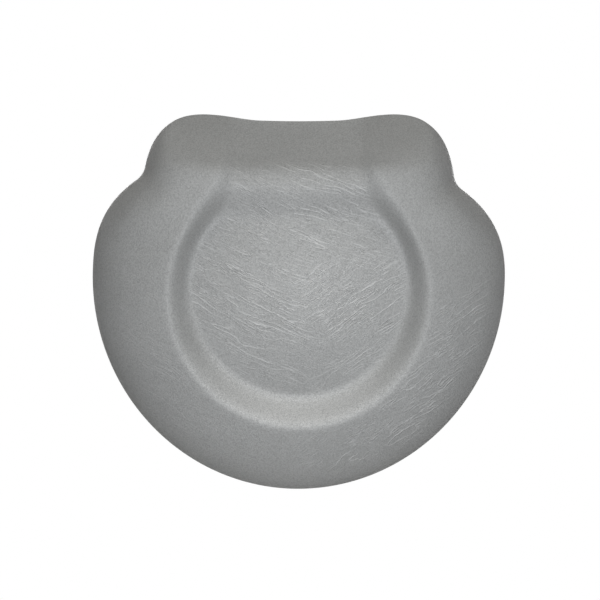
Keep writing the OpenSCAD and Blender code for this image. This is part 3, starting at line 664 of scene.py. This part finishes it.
def ball_from_rows(name, rows, first, last):
    """A globe whose rings are moved onto the rows, with its poles at first and last."""
    count = len(rows[0])
    pick_none()
    bpy.ops.mesh.primitive_uv_sphere_add(segments=count, ring_count=len(rows) + 1, radius=1)
    piece = name_new(name)
    p = lift_points(piece)
    ring = np.rint(np.arccos(np.clip(p[:, 2], -1, 1))/math.pi*(len(rows) + 1)).astype(int)
    spoke = np.rint(np.arctan2(p[:, 1], p[:, 0])/(2*math.pi)*count).astype(int) % count
    table = np.stack([np.broadcast_to(first, rows[0].shape), *rows,
                      np.broadcast_to(last, rows[0].shape)])
    set_points(piece, table[ring, spoke])
    pick_piece(piece)
    bpy.ops.object.shade_smooth()
    return piece, spoke


def hoop_from_rows(name, rows):
    """A ring whose hoops are moved onto the rows."""
    count = len(rows[0])
    pick_none()
    bpy.ops.mesh.primitive_torus_add(major_segments=count, minor_segments=len(rows),
                                     major_radius=1, minor_radius=0.25)
    piece = name_new(name)
    p = lift_points(piece)
    spoke = np.rint(np.arctan2(p[:, 1], p[:, 0])/(2*math.pi)*count).astype(int) % count
    hoop = np.arctan2(p[:, 2], np.hypot(p[:, 0], p[:, 1]) - 1)
    hoop = np.rint(hoop/(2*math.pi)*len(rows)).astype(int) % len(rows)
    set_points(piece, np.stack(rows)[hoop, spoke])
    face_outwards(piece)
    return piece


def face_outwards(piece):
    pick_piece(piece)
    bpy.ops.object.mode_set(mode="EDIT")
    bpy.ops.mesh.select_all(action="SELECT")
    bpy.ops.mesh.normals_make_consistent(inside=False)
    bpy.ops.object.mode_set(mode="OBJECT")


def pick_piece(piece):
    pick_none()
    piece.select_set(True)
    bpy.context.view_layer.objects.active = piece


def finish_piece(piece, body, slot, material, *nodes):
    piece.data.materials.clear()
    piece.data.materials.append(material)
    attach(piece, body)
    if nodes:
        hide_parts(*nodes)


def coat_nodes(material, *nodes):
    for node in nodes:
        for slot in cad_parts[node].material_slots:
            slot.material = material


def set_attribute(piece, name, kind, values):
    layer = piece.data.attributes.new(name, kind, "POINT")
    field = "vector" if kind == "FLOAT_VECTOR" else "value"
    layer.data.foreach_set(field, np.ascontiguousarray(values, dtype=np.float32).ravel())


def hang_lamp(name, kind, at, target, tint):
    """Hangs a lamp that the camera can't see, and returns it with its distance."""
    lamp = bpy.data.lights.new(name, kind)
    lamp.color = tint
    holder = bpy.data.objects.new(name, lamp)
    bpy.context.scene.collection.objects.link(holder)
    holder.location, holder.visible_camera = at, False
    aim = Vector(target) - holder.location
    holder.rotation_euler = aim.to_track_quat("-Z", "Y").to_euler()
    return lamp, aim.length


# Operators

class HEADREST_OT_vinyl_cover(Operator):
    """Stretches the grained vinyl over the pad and turns it over the back"""

    bl_idname = "headrest.vinyl_cover"
    bl_label = "Vinyl cover"

    def execute(self, context):
        form, look = context.scene.headrest_pad, context.scene.headrest_vinyl
        t = form.spread_spokes(form.segments)
        side_rows = 14
        outer = form.face_rows(t, 0, 56, 16, 50, side_rows)
        self.gather_edge(outer[-side_rows:], form)
        flange = [form.back(t, form.flange_w*i/6, -form.skin_t) for i in range(1, 7)]
        turned = [form.back(t, form.flange_w, 0)]
        inner = form.face_rows(t, form.skin_t, 10, 5, 14, 5)[::-1]
        rows = outer + flange + turned + inner
        centre = np.zeros(1)
        first, last = form.front(centre, centre, 0)[0], form.front(centre, centre, form.skin_t)[0]
        piece, spoke = ball_from_rows("vinyl_pad_cover", rows, first, last)
        self.stretch(piece, form, t[spoke])
        finish_piece(piece, PAD_BODY, "grey_vinyl", vinyl_finish(look), "vinyl_cover")
        return {"FINISHED"}

    @staticmethod
    def gather_edge(rows, form):
        """Draws the side into shallow gathers where it is turned over the back."""
        for i, row in enumerate(rows):
            turn = math.sin(math.pi/2*(i + 1)/len(rows))**4
            steps = np.linalg.norm(np.diff(row, axis=0, append=row[:1]), axis=1)
            run = np.cumsum(steps)*2*math.pi/steps.sum()
            fold = 0.5 + 0.5*np.sin(form.gathers*run + 2.2*np.sin(7*run) + 1.1*np.sin(17*run))
            reach = np.hypot(row[:, 0], row[:, 2] - form.middle_z)
            share = form.gather_d*turn*fold/reach
            row[:, 0] -= row[:, 0]*share
            row[:, 2] -= (row[:, 2] - form.middle_z)*share

    @staticmethod
    def stretch(piece, form, t):
        """Marks how the cover is pulled, and where a highlight is painted on it, for its finish."""
        p = lift_points(piece)
        x, z = p[:, 0], p[:, 2] - form.middle_z
        r = np.hypot(x, z)
        in_dish = ease(0.004, -0.008, r - form.foot_line(t))*ease(0.060, 0.046, z)
        in_dish = in_dish*mix(1, 0.55, ease(-0.030, -0.060, z))
        lip = band(z, *LIP_HEIGHTS)*ease(0.055, 0.042, np.abs(x))
        on_rim = ease(-0.002, 0.010, r - form.crest_line(t))*ease(0.98, 0.84, r/form.edge(t))
        on_rim = on_rim*ease(form.lip_from, -form.lip_from, z)
        to_right = ease(-0.020, 0.030, x)
        low_right = to_right*ease(0.022, -0.004, z)
        up_pull = in_dish*low_right + 0.9*on_rim*to_right
        down_pull = np.maximum(in_dish, 0.7*lip)*(1 - 0.85*low_right) + 0.3*on_rim*(1 - to_right)
        steps = np.linspace(-form.width, form.width, 801)
        slope = mix(math.tan(form.pull_left), math.tan(form.pull_middle),
                    ease(-0.070, 0.040, steps))
        sag = np.interp(x, steps, np.cumsum(slope)*(steps[1] - steps[0]))
        cos, sin = math.cos(form.pull_right), math.sin(form.pull_right)
        # Painted highlight: marks the dish's bottom wall for the light specks of the finish
        painted_glint = band(form.wall_share(x, z), *PAINTED_GLINT_SHARES)*ease(-0.040, -0.075, z)
        set_attribute(piece, "painted_glint", "FLOAT", painted_glint)
        set_attribute(piece, "down_pull", "FLOAT", down_pull)
        set_attribute(piece, "up_pull", "FLOAT", up_pull)
        for name, along, across in (("down_run", x, z - sag),
                                    ("up_run", x*cos + z*sin, z*cos - x*sin)):
            set_attribute(piece, name, "FLOAT_VECTOR",
                          np.stack([along, across, np.zeros_like(x)], axis=1))


class HEADREST_OT_foam_core(Operator):
    """Models the foam under the cover, with a pocket for the board"""

    bl_idname = "headrest.foam_core"
    bl_label = "Foam core"

    def execute(self, context):
        form = context.scene.headrest_pad
        inset = form.skin_t + form.glue_gap
        t = form.spread_spokes(form.segments//2)
        rows = form.face_rows(t, inset, 24, 8, 24, 8)
        pocket = form.lip_w - form.pocket_gap
        rows += [form.back(t, pocket, form.glue_gap), form.back(t, pocket, form.board_t)]
        centre = np.zeros(1)
        first = form.front(centre, centre, inset)[0]
        last = form.place(centre, centre, form.board_t)[0]
        piece, _ = ball_from_rows("foam_pad_core", rows, first, last)
        bpy.ops.object.shade_smooth_by_angle(angle=math.radians(40))
        finish_piece(piece, PAD_BODY, "moulded_foam",
                     foam_finish(context.scene.headrest_bracket), "foam_core")
        return {"FINISHED"}


class HEADREST_OT_rear_cover(Operator):
    """Models the rear cover with rounded edges, a step and a framed window"""

    bl_idname = "headrest.rear_cover"
    bl_label = "Rear cover"

    def execute(self, context):
        pad, form = context.scene.headrest_pad, context.scene.headrest_rear_cover
        t = pad.spread_spokes(form.segments)
        piece = hoop_from_rows("moulded_rear_cover", form.rows(pad, t))
        bpy.ops.object.shade_smooth_by_angle(angle=math.radians(32))
        finish_piece(piece, PAD_BODY, "black_plastic",
                     plastic_finish("rear_plastic", context.scene.headrest_bracket.plastic, 0.5),
                     "rear_cover")
        return {"FINISHED"}


class HEADREST_OT_weld_beads(Operator):
    """Lays the rippled weld beads beside the yoke"""

    bl_idname = "headrest.weld_beads"
    bl_label = "Weld beads"

    def execute(self, context):
        low, high = (np.array(corner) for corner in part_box("weld_beads"))
        yoke_x, plate_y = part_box("hinge_yoke")[1][0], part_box("mounting_plate")[1][1]
        reach = high[1] - plate_y
        beads = []
        for side in (-1, 1):
            rows, first, last = self.bead(side, yoke_x, plate_y, reach, low[2], high[2])
            beads.append(ball_from_rows("yoke_weld_beads", rows, first, last)[0])
            face_outwards(beads[-1])
        pick_piece(beads[0])
        beads[1].select_set(True)
        bpy.ops.object.join()
        finish_piece(beads[0], PAD_BODY, "black_steel", coated_finish(
            "weld_coat", context.scene.headrest_bracket.coat, 0.0011, 0.46), "weld_beads")
        return {"FINISHED"}

    @staticmethod
    def bead(side, yoke_x, plate_y, reach, low, high):
        """Sections of a fillet weld, drawn like a row of fallen coins."""
        a = np.linspace(0, 2*math.pi, 20, endpoint=False)
        heart, pitch = 0.27*reach, 0.0023
        flat = np.minimum(np.where(np.cos(a) < -1e-6, heart/np.maximum(-np.cos(a), 1e-6), reach),
                          np.where(np.sin(a) < -1e-6, heart/np.maximum(-np.sin(a), 1e-6), reach))
        rows = []
        for z in np.linspace(low, high, 130)[1:-1]:
            end = abs(2*(z - low)/(high - low) - 1)
            ripple = np.abs(np.sin(math.pi*(z + 0.0009*np.sin(2*a))/pitch))
            arc = 0.72*reach*(0.9 + 0.1*ripple)*math.sqrt(1 - end**12)
            size = np.minimum(flat, arc)
            rows.append(np.stack([side*(yoke_x + heart + size*np.cos(a)),
                                  plate_y + heart + size*np.sin(a), np.full_like(a, z)], axis=1))
        first, last = (rows[i].mean(axis=0) for i in (0, -1))
        return rows, first, last


class HEADREST_OT_bracket(Operator):
    """Finishes the board, plate, yoke, hinge, socket and fasteners"""

    bl_idname = "headrest.bracket"
    bl_label = "Bracket"

    def execute(self, context):
        look = context.scene.headrest_bracket
        coat_nodes(plywood_finish(look), "backing_board")
        coat_nodes(coated_finish("black_steel", look.coat, 0.0011, 0.46),
                   "mounting_plate", "hinge_yoke", "cover_screws")
        coat_nodes(coated_finish("cast_alloy", look.casting, 0.0019, 0.5), "post_socket")
        coat_nodes(metal_finish("zinc_steel", look.zinc, 0.36, 0.35),
                   "tee_nuts", "cover_staples", "plate_screws", "lock_washers", "hinge_bolt",
                   "flat_washers", "lock_nut", "stop_pin", "clamp_stud")
        coat_nodes(metal_finish("spring_steel", look.spring, 0.3), "disc_springs")
        coat_nodes(plastic_finish("white_bush", look.bush, 0.45), "hinge_bushes")
        return {"FINISHED"}


class HEADREST_OT_mouldings(Operator):
    """Finishes the post bushes, the knob, its cap and the clamp shoe"""

    bl_idname = "headrest.mouldings"
    bl_label = "Mouldings and clamp"

    def execute(self, context):
        look = context.scene.headrest_bracket
        coat_nodes(plastic_finish("black_plastic", look.plastic, 0.5),
                   "upper_post_bush", "lower_post_bush", "clamp_knob")
        coat_nodes(plastic_finish("grey_plastic", look.cap, 0.4), "knob_cap")
        coat_nodes(metal_finish("brass_shoe", look.brass, 0.28), "clamp_shoe")
        return {"FINISHED"}


class HEADREST_OT_stage(Operator):
    """Sets up the floor, the light and the camera"""

    bl_idname = "headrest.stage"
    bl_label = "Stage"

    def execute(self, context):
        look = context.scene.headrest_stage
        self.floor(look)
        self.light(look)
        self.surround(context.scene, look)
        self.camera(context.scene, look)
        context.scene.view_settings.view_transform = "Standard"
        return {"FINISHED"}

    @staticmethod
    def floor(look):
        pick_none()
        bpy.ops.mesh.primitive_grid_add(x_subdivisions=4, y_subdivisions=4, size=2*look.floor_w,
                                        location=(0, 0, look.floor_z))
        floor = name_new("floor")
        bpy.ops.object.transform_apply(location=True)
        f = new_finish("floor_paint")
        cloud = f.noise(f.object_place(), 3.0, 2.0)
        floor.data.materials.append(f.surface(
            Base_Color=f.blend(cloud, (0.80, 0.80, 0.80), (0.84, 0.84, 0.84)), Roughness=0.8))

    @staticmethod
    def light(look):
        white = (1, 1, 1)
        lamps = (("key", (0.05, -1.10, 0.13), 0.3, look.key, look.key_tint),
                 ("top", (0.0, -0.70, 1.20), 0.5, look.top, look.top_tint),
                 ("back_left", (-0.35, 1.9, 0.30), 0.4, look.back, white),
                 ("back_right", (0.40, 1.9, 0.18), 0.4, look.back, white))
        for name, at, size, share, tint in lamps:
            lamp, away = hang_lamp(name, "AREA", at, (0, 0, 0), tint)
            lamp.size, lamp.energy = size, share*math.pi**2*away**2
        lamp, away = hang_lamp("dish", "SPOT", (0.0, -0.52, 0.72), (0.0, -0.14, -0.12), white)
        lamp.spot_size, lamp.spot_blend, lamp.shadow_soft_size = math.radians(13), 1.0, 0.03
        lamp.energy = look.dish*4*math.pi**2*away**2

    @staticmethod
    def surround(scene, look):
        scene.world = bpy.data.worlds.new("surround")
        f = Finish(scene.world)
        camera, gloss, glass = (f.node("ShaderNodeLightPath", output=f"Is {ray} Ray")
                                for ray in ("Camera", "Glossy", "Transmission"))
        soft, white = (f.node("ShaderNodeBackground", None,
                              {"Color": (1, 1, 1, 1), "Strength": strength})
                       for strength in (look.fill, 1.0))
        f.close(f.node("ShaderNodeMixShader", None, {0: camera + gloss + glass, 1: soft, 2: white}))

    @staticmethod
    def camera(scene, look):
        lens = bpy.data.cameras.new("camera")
        lens.sensor_width = 36
        lens.lens = lens.sensor_width*look.distance/look.view_w
        camera = bpy.data.objects.new("camera", lens)
        scene.collection.objects.link(camera)
        camera.location = (look.aim[0], look.aim[1] - look.distance, look.aim[2])
        camera.rotation_euler = (math.pi/2, 0, 0)
        scene.camera = camera


class HEADREST_PT_panel(Panel):
    """Lists the pieces of the headrest"""

    bl_idname = "HEADREST_PT_panel"
    bl_label = "Headrest"
    bl_space_type = "VIEW_3D"
    bl_region_type = "UI"
    bl_category = "Headrest"

    def draw(self, context):
        for step in STEPS:
            self.layout.operator(step.bl_idname)


STEPS = (HEADREST_OT_vinyl_cover, HEADREST_OT_foam_core, HEADREST_OT_rear_cover,
         HEADREST_OT_weld_beads, HEADREST_OT_bracket, HEADREST_OT_mouldings, HEADREST_OT_stage)
GROUPS = {"headrest_pad": PadForm, "headrest_rear_cover": RearCoverForm,
          "headrest_vinyl": VinylLook, "headrest_bracket": BracketLook,
          "headrest_stage": StageLook}


def register():
    for group in GROUPS.values():
        bpy.utils.register_class(group)
    for name, group in GROUPS.items():
        setattr(bpy.types.Scene, name, PointerProperty(type=group))
    for kind in (*STEPS, HEADREST_PT_panel):
        bpy.utils.register_class(kind)


def unregister():
    for kind in (HEADREST_PT_panel, *reversed(STEPS)):
        bpy.utils.unregister_class(kind)
    for name in GROUPS:
        delattr(bpy.types.Scene, name)
    for group in GROUPS.values():
        bpy.utils.unregister_class(group)


def main():
    register()
    for step in STEPS:
        group, name = step.bl_idname.split(".")
        getattr(getattr(bpy.ops, group), name)()


if __name__ == "__main__":
    main()
